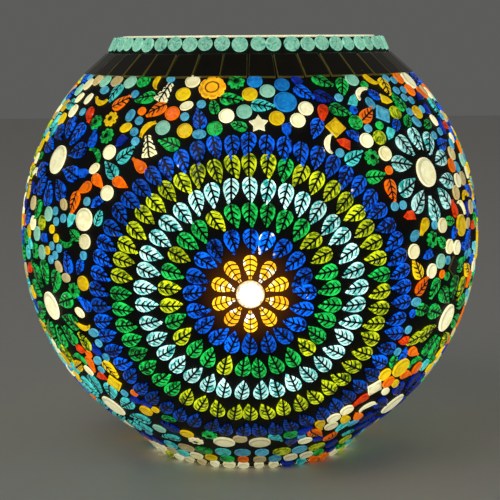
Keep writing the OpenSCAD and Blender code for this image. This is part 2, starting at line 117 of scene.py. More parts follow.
# The pieces a maker lays first, by shape and glass: azimuth and latitude in degrees
PLAN = {
    ("rosette", "amber"): [(-6, 40)],
    ("star", "cream"): [(2, 33), (-62, -20)],
    ("fern", "cream"): [(-24, 41), (-26, 26)],
    ("big", "cream"): [(-40, 9), (66, 46), (7, -56), (-3, -52)],
    ("big", "blue"): [(11, 37)],
    ("disc", "cream"): [(-13, 42), (-3, 34), (12, 32), (15, 35), (-36, 24), (-35, 16), (-41, 4), (35, 23), (50, 10),
                        (40, 2), (53, 1), (58, 1), (46, -4), (25, -42), (30, -40), (28, -50), (-8, -50), (2, -53),
                        (-61, 34), (-64, 7), (18, -59), (-41, -50)],
    ("oval", "cream"): [(-18, 38), (-56, 38), (-41, 20), (-63, 38), (47, -39), (-50, -32), (-38, -55), (63, 32)],
    ("disc", "tan"): [(-46, 44), (-59, 44), (-63, 10), (60, 13), (-2, -49)],
    ("oval", "tan"): [(-47, -5), (-52, -4), (-49, 12), (64, 4), (72, 40)],
    ("disc", "aqua"): [(-40, 43), (-53, 43), (-23, 31), (5, 41), (33, 44), (50, -2), (-69, 40), (-57, 12)],
    ("dot", "sky"): [(-11, 38), (-34, 39), (-16, 34), (-30, 33), (-30, 27), (-40, 13), (-41, 1), (-53, 1), (-50, 1),
                     (-51, -1), (-54, -2), (27, 39), (31, 30), (54, -2), (41, -25), (2, -48), (-38, -23),
                     (58, 28), (-52, 8), (63, 28), (66, -1), (63, -3), (49, 43), (54, 43), (51, 40), (56, 40),
                     (50, 37), (55, 37), (52, 34), (57, 34), (-39, -22), (-42, -28)],
    ("oval", "sky"): [(-34, 34), (-50, 40), (51, 33), (37, 36), (-41, -18), (-40, -25), (43, -10), (65, 19),
                      (67, 24), (40, -49)],
    ("disc", "blue"): [(0, 43), (10, 42)],
    ("dot", "cobalt"): [(29, 36), (43, -13), (-66, 13)],
    ("leaf", "cobalt"): [(-12, 33), (15, 42), (17, 31), (-47, -1)],
    ("leaf", "navy"): [(19, 40), (-28, -48), (13, -56)],
    ("sprig", "cobalt"): [(38, 39), (-42, -2), (41, 30)],
    ("shard", "cobalt"): [(-37, 13), (27, 29), (45, 1), (-58, 4), (62, -1), (46, -26)],
    ("shard", "navy"): [(-34, 27), (-43, -22), (60, 34), (-35, -38)],
    ("drop", "cobalt"): [(-44, 28), (-42, -10)],
    ("drop", "navy"): [(16, -46), (-30, -38), (66, 30)],
    ("leaf", "turquoise"): [(-45, 40), (-30, 23), (-33, 20), (5, 37), (24, 24), (70, 36)],
    ("shard", "turquoise"): [(-45, 7), (33, 38), (-66, 2), (41, 27)],
    ("disc", "turquoise"): [(-13, -47), (54, -38), (-58, -31), (-68, -1)],
    ("drop", "turquoise"): [(7, -48), (35, -51), (-23, -50)],
    ("disc", "green"): [(-7, 32), (-35, 44), (26, 33), (12, -48)],
    ("dot", "green"): [(40, 42), (36, 32)],
    ("leaf", "green"): [(-30, 40), (24, 34), (28, 42), (-20, 28), (48, -8), (-61, 13), (47, 38), (24, 43)],
    ("sprig", "green"): [(-8, 36), (-45, 5), (51, 5), (54, 6), (47, 30), (57, 30), (56, -35), (39, -29), (-24, -44)],
    ("moon", "green"): [(-41, 24), (-46, 2), (-50, -26), (52, -27)],
    ("daisy", "green"): [(-46, 32), (-40, 29), (30, 23), (46, 4), (-61, 0), (-35, -30), (-34, -48)],
    ("daisy", "cream"): [(-17, -54)],
    ("disc", "lime"): [(45, 33), (35, 28), (-59, 9)],
    ("leaf", "lime"): [(-47, -21), (48, -24), (-57, -27)],
    ("daisy", "yellow"): [(-40, 34)],
    ("disc", "yellow"): [(-19, 42), (-16, 31), (7, 32), (-43, -6), (39, -34), (42, -39), (-34, -43), (-19, -46),
                         (-66, 32), (58, -30), (56, 34)],
    ("big", "yellow"): [(43, -31), (61, 5)],
    ("dot", "yellow"): [(-53, 6), (-51, 4), (-29, -43), (-56, 0)],
    ("moon", "yellow"): [(-49, 36), (-26, 30), (42, 46), (-44, -19), (24, -57), (66, 11)],
    ("oval", "yellow"): [(-34, 31), (47, -36), (-72, 27)],
    ("leaf", "yellow"): [(45, 41), (-38, -27), (-53, -30), (64, -6)],
    ("drop", "yellow"): [(22, -45), (44, 8), (60, -26), (31, -45)],
    ("square", "yellow"): [(23, 30), (-41, -31)],
    ("shard", "yellow"): [(42, 36), (-66, 3), (-58, -34)],
    ("disc", "orange"): [(-21, 34), (60, 46), (61, 42), (51, -31)],
    ("dot", "orange"): [(-30, 36), (36, 20), (51, -5), (-47, -24), (-33, -33)],
    ("leaf", "orange"): [(-39, 38), (-26, 36), (32, 19), (-45, 13), (43, -7), (22, -50), (27, -56), (31, 34)],
    ("drop", "orange"): [(46, -29), (35, -45), (-48, -28), (69, -9), (68, 40)],
    ("drop", "red"): [(21, 37), (-52, 31), (57, 10), (-11, -54), (33, -39), (-69, -5)],
    ("shard", "red"): [(39, 10), (-51, -23), (25, 27), (42, -23), (-46, -32), (71, 30), (70, 4)],
    ("moon", "cream"): [(33, 41), (20, 27), (62, 9), (-70, 18), (39, -43)],
    ("square", "cream"): [(36, -36)],
    ("square", "sky"): [(40, 33)],
    ("square", "smoked"): [(57, -6)],
}

# Mix of shapes and glasses that fills what the plan leaves open
FILL = [
    ("disc", "cream"), ("disc", "cream"), ("disc", "tan"), ("disc", "aqua"), ("disc", "aqua"), ("dot", "sky"),
    ("dot", "sky"), ("dot", "sky"), ("oval", "sky"), ("disc", "yellow"), ("dot", "yellow"), ("disc", "orange"),
    ("leaf", "green"), ("sprig", "green"), ("leaf", "cobalt"), ("sprig", "turquoise"), ("leaf", "turquoise"),
    ("drop", "orange"), ("shard", "navy"), ("daisy", "green"), ("moon", "yellow"), ("shard", "cobalt"),
    ("oval", "cream"), ("leaf", "cobalt"), ("leaf", "yellow"), ("disc", "lime"), ("dot", "green"), ("oval", "tan"),
]


# ---------------------------------------------------------------- settings


class MosaicSizes(bpy.types.PropertyGroup):
    """Sizes of the glass pieces and how evenly they are laid"""

    grout_depth: FloatProperty(name="Grout depth", description="How far the grout lies below the pieces' faces",
                               default=1.0 * MM, min=0, unit="LENGTH")
    leaf_width: FloatProperty(name="Leaf width", description="Widest part of a leaf", default=6.8 * MM, unit="LENGTH")
    gap: FloatProperty(name="Gap", description="Least grout between two loose pieces", default=0.9 * MM,
                       unit="LENGTH")
    rim_disc: FloatProperty(name="Rim disc", description="Diameter of a rim disc", default=7.1 * MM, unit="LENGTH")
    medallion: FloatProperty(name="Medallion", description="Diameter of a mandala's centre disc",
                             default=12.2 * MM, unit="LENGTH")
    fill: FloatProperty(name="Fill", description="Share of the open glass that loose pieces cover, with their gaps",
                        default=0.71, min=0.3, max=0.95)
    looseness: FloatProperty(name="Looseness", description="How far a ring's leaves stray from their places",
                             default=0.35 * MM, unit="LENGTH")
    seed: IntProperty(name="Seed", description="Picks another hand-laid variation", default=7)


class LampLight(bpy.types.PropertyGroup):
    """How the bulb lights the pieces from behind"""

    glow: FloatProperty(name="Glow", description="Light through a piece of average glass", default=1.0, min=0)
    near: FloatProperty(name="Near glow", description="Factor on a piece straight in front of the bulb",
                        default=1.35, min=0)
    far: FloatProperty(name="Far glow", description="Factor on a piece a globe's radius away from there",
                       default=0.75, min=0)
    bulb: FloatProperty(name="Bulb", description="Light of the frosted bulb", default=14, min=0)


class StudioSettings(bpy.types.PropertyGroup):
    """Camera and lights"""

    distance: FloatProperty(name="Distance", description="From the camera to the globe's centre", default=0.69,
                            unit="LENGTH")
    elevation: FloatProperty(name="Elevation", description="Camera's height angle over the globe's centre",
                             default=math.radians(8.05), subtype="ANGLE")
    lens: FloatProperty(name="Lens", description="Focal length on a 36 mm wide film", default=97.3)
    lift: FloatProperty(name="Lift", description="How far over the view's middle the globe's centre stands",
                        default=math.radians(0.76), subtype="ANGLE")
    roll: FloatProperty(name="Roll", description="Tilt of the camera about its view", default=math.radians(-0.4),
                        subtype="ANGLE")
    key: FloatProperty(name="Key light", description="Power of the large soft light", default=3.0, unit="POWER")
    floor: StringProperty(name="Floor", description="Colour of the floor", default="#E4E1DB")


GLASS = {
    # Glass: deep colour, bright colour, record slot, glow and how much the two colours streak
    "cobalt": ("#000848", "#006CFF", "cobalt_glass", 1.1, 1.25),
    "navy": ("#01063C", "#0440E0", "navy_glass", 0.6, 0.8),
    "blue": ("#0060B8", "#1C9CE8", "sky_glass", 1.0, 0.5),
    "sky": ("#0A78A8", "#68D0E6", "sky_glass", 0.95, 0.55),
    "turquoise": ("#048A8C", "#5CF0E4", "turquoise_glass", 1.05, 0.8),
    "pale_aqua": ("#0C9890", "#CCFFF6", "pale_aqua_glass", 1.2, 1.1),
    "aqua": ("#5CB898", "#B4F2D0", "aqua_mottled_glass", 0.95, 0.4),
    "green": ("#013C0C", "#1EDC5A", "green_glass", 0.95, 1.0),
    "lime": ("#3C5C00", "#E4F418", "lime_glass", 0.95, 1.0),
    "yellow": ("#D09400", "#FFE010", "yellow_glass", 1.1, 0.5),
    "amber": ("#D07800", "#FFC820", "amber_ribbed_glass", 1.5, 0.5),
    "orange": ("#DC4600", "#FF8000", "orange_glass", 1.2, 0.6),
    "red": ("#A41800", "#FF4A06", "orange_glass", 1.05, 0.7),
    "cream": ("#E2D38C", "#FFFDD0", "cream_opal_glass", 1.3, 0.45),
    "tan": ("#BFA45C", "#F0DC9C", "tan_opal_glass", 0.95, 0.4),
}


class GlassColours(bpy.types.PropertyGroup):
    """Bright colour of each glass, as an sRGB hex value"""

    __annotations__ = {
        glass: StringProperty(name=glass.replace("_", " ").capitalize(), description="Lit colour of this glass",
                              default=values[1])
        for glass, values in GLASS.items()
    }


# ---------------------------------------------------------------- materials


def linear(code):
    """An sRGB hex value as a linear colour."""
    parts = [int(code[i:i + 2], 16) / 255 for i in (1, 3, 5)]
    return [p / 12.92 if p <= 0.04045 else ((p + 0.055) / 1.055) ** 2.4 for p in parts] + [1]


def feed(tree, node, sockets):
    """Feeds a node's sockets with values, nodes or other nodes' sockets."""
    for socket, value in sockets.items():
        if isinstance(value, bpy.types.Node):
            value = value.outputs[0]
        if isinstance(value, bpy.types.NodeSocket):
            tree.links.new(value, node.inputs[socket])
        else:
            node.inputs[socket].default_value = value


def add(tree, kind, *feeds, **settings):
    """Adds a node with its settings, its sockets fed in order or by name from a dict. A kind in capitals is the
    operation of a Math node."""
    if kind.isupper():
        kind, settings["operation"] = "Math", kind
    made = tree.nodes.new("ShaderNode" + kind)
    for key, value in settings.items():
        setattr(made, key, value)
    for socket, value in enumerate(feeds):
        feed(tree, made, value if isinstance(value, dict) else {socket: value})
    return made


def new_material(name):
    """An empty material with its output and its surface, the place of a point and its place on the piece's chart."""
    material = bpy.data.materials.new(name)
    material.use_nodes = True
    tree = material.node_tree
    tree.nodes.clear()
    surface = add(tree, "BsdfPrincipled")
    add(tree, "OutputMaterial", {"Surface": surface})
    place = add(tree, "TexCoord")
    return material, tree, surface, place.outputs["Object"], place.outputs["UV"]


def piece_tint(tree):
    """What a piece's tint holds: its light, its shade, how far from its edge a point is, and whether it has veins."""
    tint = add(tree, "Attribute", attribute_name="tint")
    part = add(tree, "SeparateColor", tint.outputs["Color"])
    return part.outputs["Red"], part.outputs["Green"], part.outputs["Blue"], tint.outputs["Alpha"]


def set_stops(ramp, *stops):
    """Places a ramp's colours."""
    for element, (position, code) in zip(ramp.color_ramp.elements, stops):
        element.position = position
        element.color = linear(code)


def glow_over_globe(tree, place, light):
    """Light from behind: strongest on the bulb's level axis through both mandalas, weaker low down."""
    off_axis = add(tree, "VectorMath", place, (0, 0, BULB_AXIS_Z), operation="SUBTRACT")
    flat = add(tree, "VectorMath", off_axis, (1, 0, 1), operation="MULTIPLY")
    reach = add(tree, "VectorMath", flat, operation="LENGTH").outputs["Value"]
    near = add(tree, "MapRange", reach, 0.0, GLASS_R, light.near, light.far, interpolation_type="SMOOTHSTEP")
    height = add(tree, "SeparateXYZ", place)
    low = add(tree, "MapRange", height.outputs["Z"], 0.008, 0.058, 0.42, 1.0, interpolation_type="SMOOTHSTEP")
    return add(tree, "MULTIPLY", near, low), reach


def stripes(tree, count, thin, thick, low):
    """Low on one line in each whole step of a count and 1 between the lines."""
    phase = add(tree, "FRACT", count)
    off = add(tree, "ABSOLUTE", add(tree, "SUBTRACT", phase, 0.5))
    return add(tree, "MapRange", off, thin, thick, low, 1.0)


def vein_lines(tree, across, along):
    """1 on clear glass and 0 on a leaf's pressed midrib and its three pairs of hanging side veins."""
    side = add(tree, "ABSOLUTE", across)
    midrib = add(tree, "MapRange", side, 0.085, 0.16, 0.0, 1.0)
    droop = add(tree, "POWER", side, 1.4)
    level = add(tree, "MULTIPLY_ADD", droop, 0.62, along)
    # Three veins over the leaf's length, 3 mm apart on a leaf of 12 mm
    clear = stripes(tree, add(tree, "MULTIPLY_ADD", level, 2.05, 0.72), 0.13, 0.22, 0.0)
    # They end short of the leaf's side, its round end and its tip
    for limits in ((side, 0.60, 0.74, 0.0, 1.0), (level, 0.80, 0.90, 0.0, 1.0), (level, -0.62, -0.52, 1.0, 0.0)):
        clear = add(tree, "MAXIMUM", clear, add(tree, "MapRange", *limits))
    return add(tree, "MULTIPLY", midrib, clear)


def rib_lines(tree, across, along):
    """1 on clear glass and 0 in the ribs that arch across a petal, with its midrib."""
    side = add(tree, "ABSOLUTE", across)
    midrib = add(tree, "MapRange", side, 0.05, 0.12, 0.35, 1.0)
    arch = add(tree, "POWER", side, 2.0)
    level = add(tree, "MULTIPLY_ADD", arch, 0.28, along)
    # Ribs over the petal's length, 2.4 mm apart
    return add(tree, "MULTIPLY", midrib, stripes(tree, add(tree, "MULTIPLY", level, 2.2), 0.09, 0.17, 0.12))


def stained_glass(glass, lines=vein_lines):
    """Pressed or rolled stained glass, lit from behind: a glossy fire-polished face, seeds and streaks of 2 to 4 mm
    in the colour, a painted highlight along its ground edge with painted shade in a crescent inside it, and a leaf's
    veins filled with black grout."""
    settings = bpy.context.scene
    light = settings.lamp_light
    deep, _, _, strength, streak = GLASS[glass]
    bright = getattr(settings.glass_colours, glass)
    name = "stained_glass_" + glass + ("_ribbed" if lines is rib_lines else "")
    if name in bpy.data.materials:
        return bpy.data.materials[name]
    material, tree, surface, place, chart = new_material(name)
    light_share, shade_share, inside, veins = piece_tint(tree)
    along = add(tree, "SeparateXYZ", chart)
    clear = lines(tree, along.outputs["X"], along.outputs["Y"])
    veined = add(tree, "MapRange", veins, 0.25, 0.75, 1.0, 0.0)
    open_glass = add(tree, "MAXIMUM", clear, veined)
    streaks = add(tree, "TexNoise",
                  {"Vector": place, "Scale": 330.0, "Detail": 3.0, "Roughness": 0.6, "Distortion": 1.2})
    blend = add(tree, "MapRange", streaks.outputs["Fac"], 0.36, 0.64, 0.3 - 0.6 * streak, 0.3 + 0.6 * streak)
    shade = add(tree, "MULTIPLY_ADD", shade_share, 0.5, blend, use_clamp=True)
    colour = add(tree, "Mix", {0: shade, 6: linear(deep), 7: linear(bright)}, data_type="RGBA")
    body = add(tree, "Mix", {0: open_glass, 6: linear("#070603"), 7: colour.outputs[2]}, data_type="RGBA")
    behind, reach = glow_over_globe(tree, place, light)
    # A plain piece's ground edge gets a painted highlight, 1.3 times the light, and the darker crescent inside it is
    # painted shade
    off_middle = add(tree, "VectorMath", chart, (0.1, -0.1, 0), operation="SUBTRACT")
    from_middle = add(tree, "VectorMath", off_middle, operation="LENGTH").outputs["Value"]
    crescent = add(tree, "MapRange", from_middle, 0.8, 0.88, 1.0, 0.66)
    painted_shade_off_veins = add(tree, "MAXIMUM", crescent, veins)
    edge = add(tree, "MapRange", inside, 0.0, 1.0, 1.3, painted_shade_off_veins)
    through = add(tree, "MULTIPLY", behind, light.glow * strength)
    # The edge's painted highlight and the crescent's painted shade scale the light through the piece
    for share in (light_share, edge, add(tree, "MapRange", open_glass, 0.0, 1.0, 0.05, 1.0)):
        through = add(tree, "MULTIPLY", through, share)
    # The bulb's own image burns to white in patches close to it
    patches = add(tree, "TexNoise", {"Vector": place, "Scale": 300.0, "Detail": 1.0})
    hot = add(tree, "MapRange", reach, 0.006, 0.018, 0.24, -0.1)
    strong = add(tree, "MapRange", light_share, 1.3, 1.8, 0.0, 0.32)
    burn = add(tree, "ADD", patches.outputs["Fac"], add(tree, "ADD", hot, strong))
    white = add(tree, "MULTIPLY", add(tree, "MapRange", burn, 0.66, 0.76, 0.0, 1.0), open_glass)
    light_colour = add(tree, "Mix", {0: white, 6: body.outputs[2], 7: linear("#FFFBEA")}, data_type="RGBA")
    dim = add(tree, "Mix", {0: 1.0, 6: body.outputs[2], 7: (0.14, 0.14, 0.14, 1)}, data_type="RGBA",
              blend_type="MULTIPLY")
    ripple = add(tree, "TexNoise", {"Vector": place, "Scale": 700.0})
    height = add(tree, "MULTIPLY_ADD", ripple.outputs["Fac"], 0.25, open_glass)
    bump = add(tree, "Bump", {"Strength": 0.5, "Distance": 0.25 * MM, "Height": height})
    feed(tree, surface, {"Base Color": dim.outputs[2], "Emission Color": light_colour.outputs[2],
                         "Emission Strength": through, "Normal": bump, "Roughness": 0.16, "IOR": 1.52,
                         "Specular IOR Level": 0.4})
    return material


def mottled_opal_glass():
    """Rolled opal glass of the rim discs: milky sea green with darker clouds of 2 to 3 mm and fine white wisps."""
    light = bpy.context.scene.lamp_light
    material, tree, surface, place, _ = new_material("rolled_opal_glass_sea_green")
    light_share, _, inside, _ = piece_tint(tree)
    clouds = add(tree, "TexNoise",
                 {"Vector": place, "Scale": 380.0, "Detail": 5.0, "Roughness": 0.65, "Distortion": 2.0})
    ramp = add(tree, "ValToRGB", clouds.outputs["Fac"])
    ramp.color_ramp.elements.new(0.42)
    set_stops(ramp, (0.34, "#2A7F74"), (0.42, "#70BCA0"), (0.62, "#A0E0BC"))
    # Painted highlight: each disc's ground edge gives 1.35 times the light of its middle
    edge = add(tree, "MapRange", inside, 0.0, 1.0, 1.35, 1.0)
    lit = add(tree, "MULTIPLY", edge, light_share)
    power = add(tree, "MULTIPLY", lit, 0.75 * light.glow)
    bump = add(tree, "Bump", {"Strength": 0.35, "Distance": 0.2 * MM, "Height": clouds.outputs["Fac"]})
    dim = add(tree, "Mix", {0: 1.0, 6: ramp, 7: (0.4, 0.4, 0.4, 1)}, data_type="RGBA", blend_type="MULTIPLY")
    feed(tree, surface, {"Base Color": dim.outputs[2], "Emission Color": ramp, "Emission Strength": power,
                         "Normal": bump, "Roughness": 0.2, "IOR": 1.5})
    return material


def medallion_glass():
    """Thin white opal glass right in front of the bulb: its middle burns out and its edge stays warm."""
    light = bpy.context.scene.lamp_light
    material, tree, surface, place, chart = new_material("white_opal_glass_medallion")
    from_middle = add(tree, "VectorMath", chart, operation="LENGTH").outputs["Value"]
    ramp = add(tree, "ValToRGB", from_middle)
    set_stops(ramp, (0.66, "#FFFEF6"), (1.0, "#E8C98C"))
    crackle = add(tree, "TexNoise", {"Vector": place, "Scale": 620.0, "Detail": 4.0, "Distortion": 1.0})
    level = add(tree, "MapRange", crackle.outputs["Fac"], 0.38, 0.6, 0.5, 1.5)
    edge = add(tree, "MapRange", from_middle, 0.45, 0.95, 3.0 * light.glow, 0.9 * light.glow)
    fade = add(tree, "MULTIPLY", level, edge)
    feed(tree, surface, {"Emission Color": ramp, "Emission Strength": fade, "Base Color": linear("#F4EBD2"),
                         "Roughness": 0.18})
    return material


def smoked_mirror():
    """Cut mirror glass, smoked almost black: a sharp reflection with faint olive clouds and a ground, paler edge that
    also gives off a painted olive glow.
    """
    material, tree, surface, place, _ = new_material("smoked_mirror_glass")
    _, _, inside, _ = piece_tint(tree)
    clouds = add(tree, "TexNoise", {"Vector": place, "Scale": 140.0, "Detail": 4.0})
    tone = add(tree, "Mix", {0: clouds.outputs["Fac"], 6: linear("#131105"), 7: linear("#332C14")}, data_type="RGBA")
    edge = add(tree, "Mix", {0: inside, 6: linear("#7C7448"), 7: tone.outputs[2]}, data_type="RGBA")
    # Painted glow: the ground edge gives off a little olive light
    painted_edge_glow = add(tree, "MapRange", inside, 0.0, 0.5, 0.3, 0.0)
    bump = add(tree, "Bump", {"Strength": 0.15, "Distance": 0.4 * MM, "Height": clouds.outputs["Fac"]})
    feed(tree, surface, {"Base Color": edge.outputs[2], "Emission Strength": painted_edge_glow,
                         "Emission Color": linear("#6C6226"), "Normal": bump, "Metallic": 0.55, "Roughness": 0.14})
    return material


def grout():
    """Cement grout with black oxide, wiped with a sponge: matt, sandy at 0.5 mm, browner where it is rubbed thin and
    towards the bottom of the globe.
    """
    material, tree, surface, place, _ = new_material("black_cement_grout")
    sand = add(tree, "TexNoise", {"Vector": place, "Scale": 1800.0, "Detail": 2.0})
    wipe = add(tree, "TexNoise", {"Vector": place, "Scale": 60.0, "Detail": 4.0})
    height = add(tree, "SeparateXYZ", place)
    # Browner towards the bottom of the globe, over its lowest 70 mm, besides the sponge-wiped patches
    low = add(tree, "MapRange", height.outputs["Z"], 0.0, 0.07, 0.5, 0.0)
    thin = add(tree, "MULTIPLY_ADD", wipe.outputs["Fac"], 0.5, low, use_clamp=True)
    tone = add(tree, "Mix", {0: thin, 6: linear("#040403"), 7: linear("#1E170A")}, data_type="RGBA")
    both = add(tree, "MULTIPLY_ADD", sand.outputs["Fac"], 0.4, wipe.outputs["Fac"])
    bump = add(tree, "Bump", {"Strength": 0.5, "Distance": 0.3 * MM, "Height": both})
    rough = add(tree, "MapRange", wipe.outputs["Fac"], 0.3, 0.7, 0.5, 0.8)
    # Thin grout round the medallion lets a little amber light through
    _, reach = glow_over_globe(tree, place, bpy.context.scene.lamp_light)
    halo = add(tree, "MapRange", reach, 0.005, 0.026, 0.16, 0.0, interpolation_type="SMOOTHSTEP")
    feed(tree, surface, {"Base Color": tone.outputs[2], "Roughness": rough, "Normal": bump, "Emission Strength": halo,
                         "Emission Color": linear("#C86A14"), "Specular IOR Level": 0.3})
    return material


def blown_glass():
    """Clear blown soda lime glass, faintly green, with slow waves of about 20 mm; its ground rim carries light."""
    material, tree, surface, place, _ = new_material("blown_soda_lime_glass")
    waves = add(tree, "TexNoise", {"Vector": place, "Scale": 50.0, "Detail": 1.0})
    bump = add(tree, "Bump", {"Strength": 0.15, "Distance": 0.5 * MM, "Height": waves.outputs["Fac"]})
    height = add(tree, "SeparateXYZ", place)
    rim = add(tree, "MapRange", height.outputs["Z"], RIM_Z - 1.6 * MM, RIM_Z - 0.6 * MM, 0.0, 0.55)
    feed(tree, surface, {"Normal": bump, "Emission Strength": rim, "Emission Color": linear("#E6E2C0"),
                         "Base Color": linear("#EAF4EE"), "Roughness": 0.03, "IOR": 1.52, "Transmission Weight": 1.0})
    return material


def plain_finish(name, low, high, size_mm, roughness, metallic=0.0, bump_mm=0.05, rough_spread=0.1):
    """A finish with two close tones in grains of a real size, a slightly uneven gloss and a fine relief."""
    material, tree, surface, place, _ = new_material(name)
    grain = add(tree, "TexNoise", {"Vector": place, "Scale": 1 / (size_mm * MM), "Detail": 4.0})
    tone = add(tree, "Mix", {0: grain.outputs["Fac"], 6: linear(low), 7: linear(high)}, data_type="RGBA")
    gloss = add(tree, "MapRange", grain.outputs["Fac"], 0.3, 0.7, roughness, roughness + rough_spread)
    bump = add(tree, "Bump", {"Strength": 0.4, "Distance": bump_mm * MM, "Height": grain.outputs["Fac"]})
    feed(tree, surface, {"Base Color": tone.outputs[2], "Roughness": gloss, "Normal": bump, "Metallic": metallic})
    return material


def frosted_bulb():
    """Acid-frosted bulb glass, lit from inside: brightest from just below its middle up to its crown, dimmer towards
    the neck.
    """
    light = bpy.context.scene.lamp_light
    low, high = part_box("bulb_envelope")
    material, tree, surface, place, _ = new_material("acid_frosted_glass")
    height = add(tree, "SeparateXYZ", place)
    level = add(tree, "MapRange", height.outputs["Z"], low.z, low.z + 0.45 * (high.z - low.z), 0.25 * light.bulb,
                light.bulb, interpolation_type="SMOOTHSTEP")
    frost = add(tree, "TexNoise", {"Vector": place, "Scale": 900.0})
    bump = add(tree, "Bump", {"Strength": 0.2, "Distance": 0.05 * MM, "Height": frost.outputs["Fac"]})
    feed(tree, surface, {"Emission Strength": level, "Normal": bump, "Emission Color": linear("#FFDCA6"),
                         "Base Color": linear("#FBF3E2"), "Roughness": 0.45})
    return material


# ---------------------------------------------------------------- modelling


def deselect():
    if bpy.context.mode != "OBJECT":
        bpy.ops.object.mode_set(mode="OBJECT")
    bpy.ops.object.select_all(action="DESELECT")


def chip(name, outline, veined=0.0, bevel=0.45 * MM, crown=0.3 * MM, eye=0.0, bead=0.0):
    """A piece of glass on its flat back: the outline raised to its thickness, its top edge ground, its face crowned.

    Its UV map runs from -1 to 1 over its width and its length, and its tint holds light, shade, distance from the
    edge and whether it has veins. An eye is a round black hole in its face, a bead a dark ring in the tint round that
    share."""
    half_w = max(abs(x) for x, _ in outline)
    half_l = max(abs(y) for _, y in outline)
    deselect()
    bpy.ops.mesh.primitive_circle_add(vertices=len(outline), radius=1, fill_type="NGON")
    piece = bpy.context.object
    piece.name = name
    for vertex, (x, y) in zip(piece.data.vertices, outline):
        vertex.co = (x, y, 0)
    bpy.ops.object.mode_set(mode="EDIT")
    bpy.ops.mesh.select_all(action="SELECT")
    bpy.ops.mesh.extrude_region_move(TRANSFORM_OT_translate={"value": (0, 0, PIECE_T - crown)})
    bpy.ops.mesh.inset(thickness=bevel, depth=crown * 0.75, use_even_offset=False)
    bpy.ops.mesh.inset(thickness=bevel * 1.2, depth=crown * 0.25, use_even_offset=False)
    for share in (eye * 1.3, eye, bead * 1.12, bead, bead * 0.9, bead * 0.78):
        if share:
            bpy.ops.mesh.inset(thickness=0, use_even_offset=False)
            bpy.ops.object.mode_set(mode="OBJECT")
            for vertex in piece.data.vertices:
                if vertex.select:
                    vertex.co.xy = vertex.co.xy.normalized() * half_w * share
            bpy.ops.object.mode_set(mode="EDIT")
    if eye:
        bpy.ops.mesh.extrude_region_move(TRANSFORM_OT_translate={"value": (0, 0, -0.8 * MM)})
    bpy.ops.mesh.select_all(action="SELECT")
    bpy.ops.mesh.normals_make_consistent(inside=False)
    bpy.ops.object.mode_set(mode="OBJECT")
    mesh = piece.data
    chart = mesh.uv_layers.active or mesh.uv_layers.new(name="UVMap")
    for loop in mesh.loops:
        co = mesh.vertices[loop.vertex_index].co
        chart.data[loop.index].uv = (co.x / half_w, co.y / half_l)
    tint = mesh.color_attributes.new(name="tint", type="FLOAT_COLOR", domain="POINT")
    edge_z = PIECE_T - 0.9 * crown
    for vertex in mesh.vertices:
        inside = 1.0 if vertex.co.z > edge_z else 0.0
        reach = vertex.co.to_2d().length / half_w
        dark = eye and reach < eye * 1.1 or bead and abs(reach - bead * 0.95) < bead * 0.08
        tint.data[vertex.index].color = (0.03 if dark else 1, 0.5, inside, veined)
    for polygon in mesh.polygons:
        polygon.use_smooth = abs(polygon.normal.z) < 0.999 and polygon.normal.z > 0.05
    return piece


def round_outline(r, count=24, squash=1.0):
    turns = [2 * math.pi * i / count for i in range(count)]
    return [(r * math.cos(t), r * squash * math.sin(t)) for t in turns]


def leaf_outline(half_w, half_l, lean=0.3, count=20, taper=1.0):
    """A pressed leaf: a tip at -Y that curls to one side and a round end at +Y; taper moves the belly outwards."""
    turns = [2 * math.pi * i / count for i in range(count)]
    widths = [math.sin(t) * math.sin(t / 2) ** taper for t in turns]
    curls = [lean * ((1 + math.cos(t)) / 2) ** 2.2 for t in turns]
    return [((width / max(widths) + curl) * half_w, -math.cos(t) * half_l)
            for t, width, curl in zip(turns, widths, curls)]


def moon_outline(half_w, half_l, count=9):
    outer = [(-half_w + 2 * half_w * math.cos(t), half_l * math.sin(t))
             for t in (math.pi * (i / count - 0.5) for i in range(count + 1))]
    inner = [(-half_w + 0.75 * half_w * math.cos(t), half_l * math.sin(t))
             for t in (math.pi * (0.5 - i / count) for i in range(1, count))]
    return outer + inner


def petal_wheel_outline(r, petals, depth, per_petal=4, sharp=2):
    """A round outline with even notches, narrower the sharper they are."""
    turns = [2 * math.pi * i / (petals * per_petal) for i in range(petals * per_petal)]
    reach = [r * (1 - depth * (0.5 - 0.5 * math.cos(petals * t)) ** sharp) for t in turns]
    return [(-w * math.sin(t), w * math.cos(t)) for t, w in zip(turns, reach)]


def fern_outline(half_w, half_l, steps=4):
    right = []
    for i in range(steps):
        y = -half_l + 2 * half_l * i / steps
        w = half_w * (1 - 0.78 * i / steps)
        right += [(w, y + 0.12 * half_l), (w * 0.9, y + 0.4 * half_l), (w * 0.45, y + 0.44 * half_l)]
    left = [(-x, y) for x, y in reversed(right)]
    return [(0.2 * half_w, -half_l)] + right + [(0, half_l)] + left + [(-0.2 * half_w, -half_l)]


